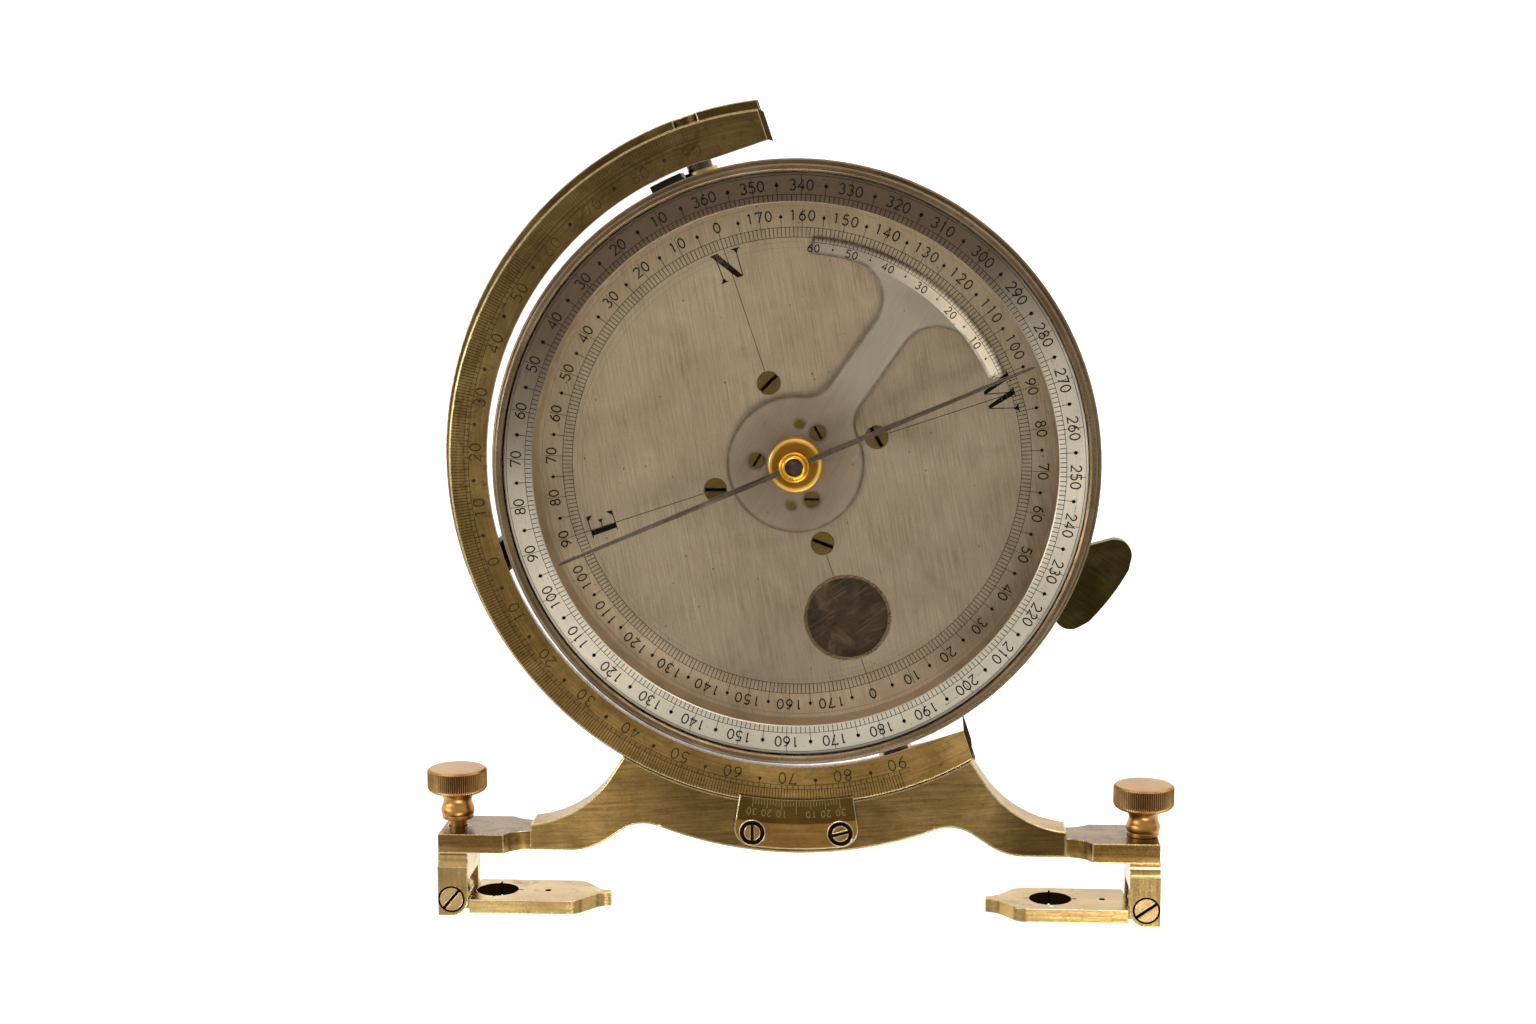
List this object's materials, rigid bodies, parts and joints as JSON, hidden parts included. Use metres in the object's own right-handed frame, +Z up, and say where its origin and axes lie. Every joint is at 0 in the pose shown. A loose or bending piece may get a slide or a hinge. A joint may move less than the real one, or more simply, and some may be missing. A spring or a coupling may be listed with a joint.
{
  "type": "clinometer",
  "caption": "Inclining compass clinometer: compass box on a tripod socket, tilting graduated C-shaped limb, and a sliding frame with folding sight vanes.",
  "frame": {"origin": "centre of the mouth of the tripod socket, on the spindle axis", "axes": "+Z up the spindle, out through the dial; +X and +Y as in the pictured pose, with the sight frame on the -Y side and its arms along X"},
  "size_m": [0.1886, 0.2033, 0.0677],
  "materials": {
    "lacquered_brass": "lacquered, darkened",
    "aged_brass": "aged, satin",
    "bright_brass": "polished",
    "blackened_brass": "blackened, worn",
    "bronzed_brass": "worn silvering, satin",
    "silvered_brass": "silvered, satin",
    "silvered_dial": "silvered, tarnished",
    "dark_screws": "blued, worn",
    "steel": "turned",
    "needle_steel": "polished",
    "agate": "polished stone cap",
    "clear_glass": "clear",
    "level_glass": "yellowed",
    "level_spirit": "dark spirit"
  },
  "bodies": {
    "base": {"tripod_socket": "lacquered_brass", "spindle": "steel", "vernier_plate": "silvered_brass", "vernier_screws": "dark_screws", "vernier_pins": "bright_brass", "pivot_seat": "bright_brass", "pivot_pin": "steel"},
    "needle": {"needle": "needle_steel", "needle_cap": "bright_brass", "cap_jewel": "agate"},
    "box": {"compass_box": "lacquered_brass", "dial_plate": "silvered_dial", "dial_screws": "dark_screws", "degree_ring": "silvered_dial", "bezel": "lacquered_brass", "cover_glass": "clear_glass", "level_cup": "lacquered_brass", "level_fluid": "level_spirit", "level_glass": "level_glass", "clamp_collar": "lacquered_brass", "collar_screws": "dark_screws", "trunnion_collars": "bright_brass", "trunnion_pin_north": "steel", "trunnion_pin_south": "steel", "rest_lug": "blackened_brass", "stop_lug": "blackened_brass", "lug_screws": "dark_screws"},
    "clamp_screw": {"wing_screw": "lacquered_brass"},
    "limb": {"limb": "aged_brass"},
    "frame": {"sight_frame": "aged_brass", "keeper": "aged_brass", "keeper_screws": "dark_screws", "limb_vernier": "bronzed_brass", "limb_vernier_screws": "dark_screws", "arm_left": "aged_brass", "arm_right": "aged_brass", "bracket_left": "aged_brass", "bracket_right": "aged_brass", "hinge_screw_left": "dark_screws", "hinge_screw_right": "dark_screws"},
    "left_vane": {"vane_left": "aged_brass"},
    "right_vane": {"vane_right": "aged_brass"},
    "left_thumb_screw": {"thumb_screw_left": "aged_brass"},
    "right_thumb_screw": {"thumb_screw_right": "aged_brass"}
  },
  "joints": [
    {"name": "needle_swing", "type": "hinge", "parent": "base", "child": "needle", "pos_m": [0, 0, 0.0648], "axis": [0, 0, 1], "continuous": true},
    {"name": "box_turn", "type": "hinge", "parent": "base", "child": "box", "pos_m": [0, 0, 0.042], "axis": [0, 0, 1], "continuous": true},
    {"name": "clamp_turn", "type": "hinge", "parent": "box", "child": "clamp_screw", "pos_m": [0.01039, 0.01409, 0.035], "axis": [0.8049, -0.5934, 0], "range_deg": [-90, 90]},
    {"name": "limb_tilt", "type": "hinge", "parent": "box", "child": "limb", "pos_m": [0, 0, 0.047], "axis": [-0.3156, 0.9489, 0], "range_deg": [0, 90]},
    {"name": "sight_travel", "type": "hinge", "parent": "limb", "child": "frame", "pos_m": [0, 0, 0.051], "axis": [0, 0, 1], "range_deg": [-161.6, 18.4]},
    {"name": "left_vane_fold", "type": "hinge", "parent": "frame", "child": "left_vane", "pos_m": [-0.0871, -0.1109, 0.05135], "axis": [0, 0, -1], "range_deg": [0, 90]},
    {"name": "right_vane_fold", "type": "hinge", "parent": "frame", "child": "right_vane", "pos_m": [0.0871, -0.1109, 0.05135], "axis": [0, 0, 1], "range_deg": [0, 90]},
    {"name": "left_thumb_turn", "type": "hinge", "parent": "frame", "child": "left_thumb_screw", "pos_m": [-0.0867, -0.09, 0.05135], "axis": [0, 1, 0], "range_deg": [-180, 180]},
    {"name": "right_thumb_turn", "type": "hinge", "parent": "frame", "child": "right_thumb_screw", "pos_m": [0.0867, -0.09, 0.05135], "axis": [0, 1, 0], "range_deg": [-180, 180]}
  ]
}
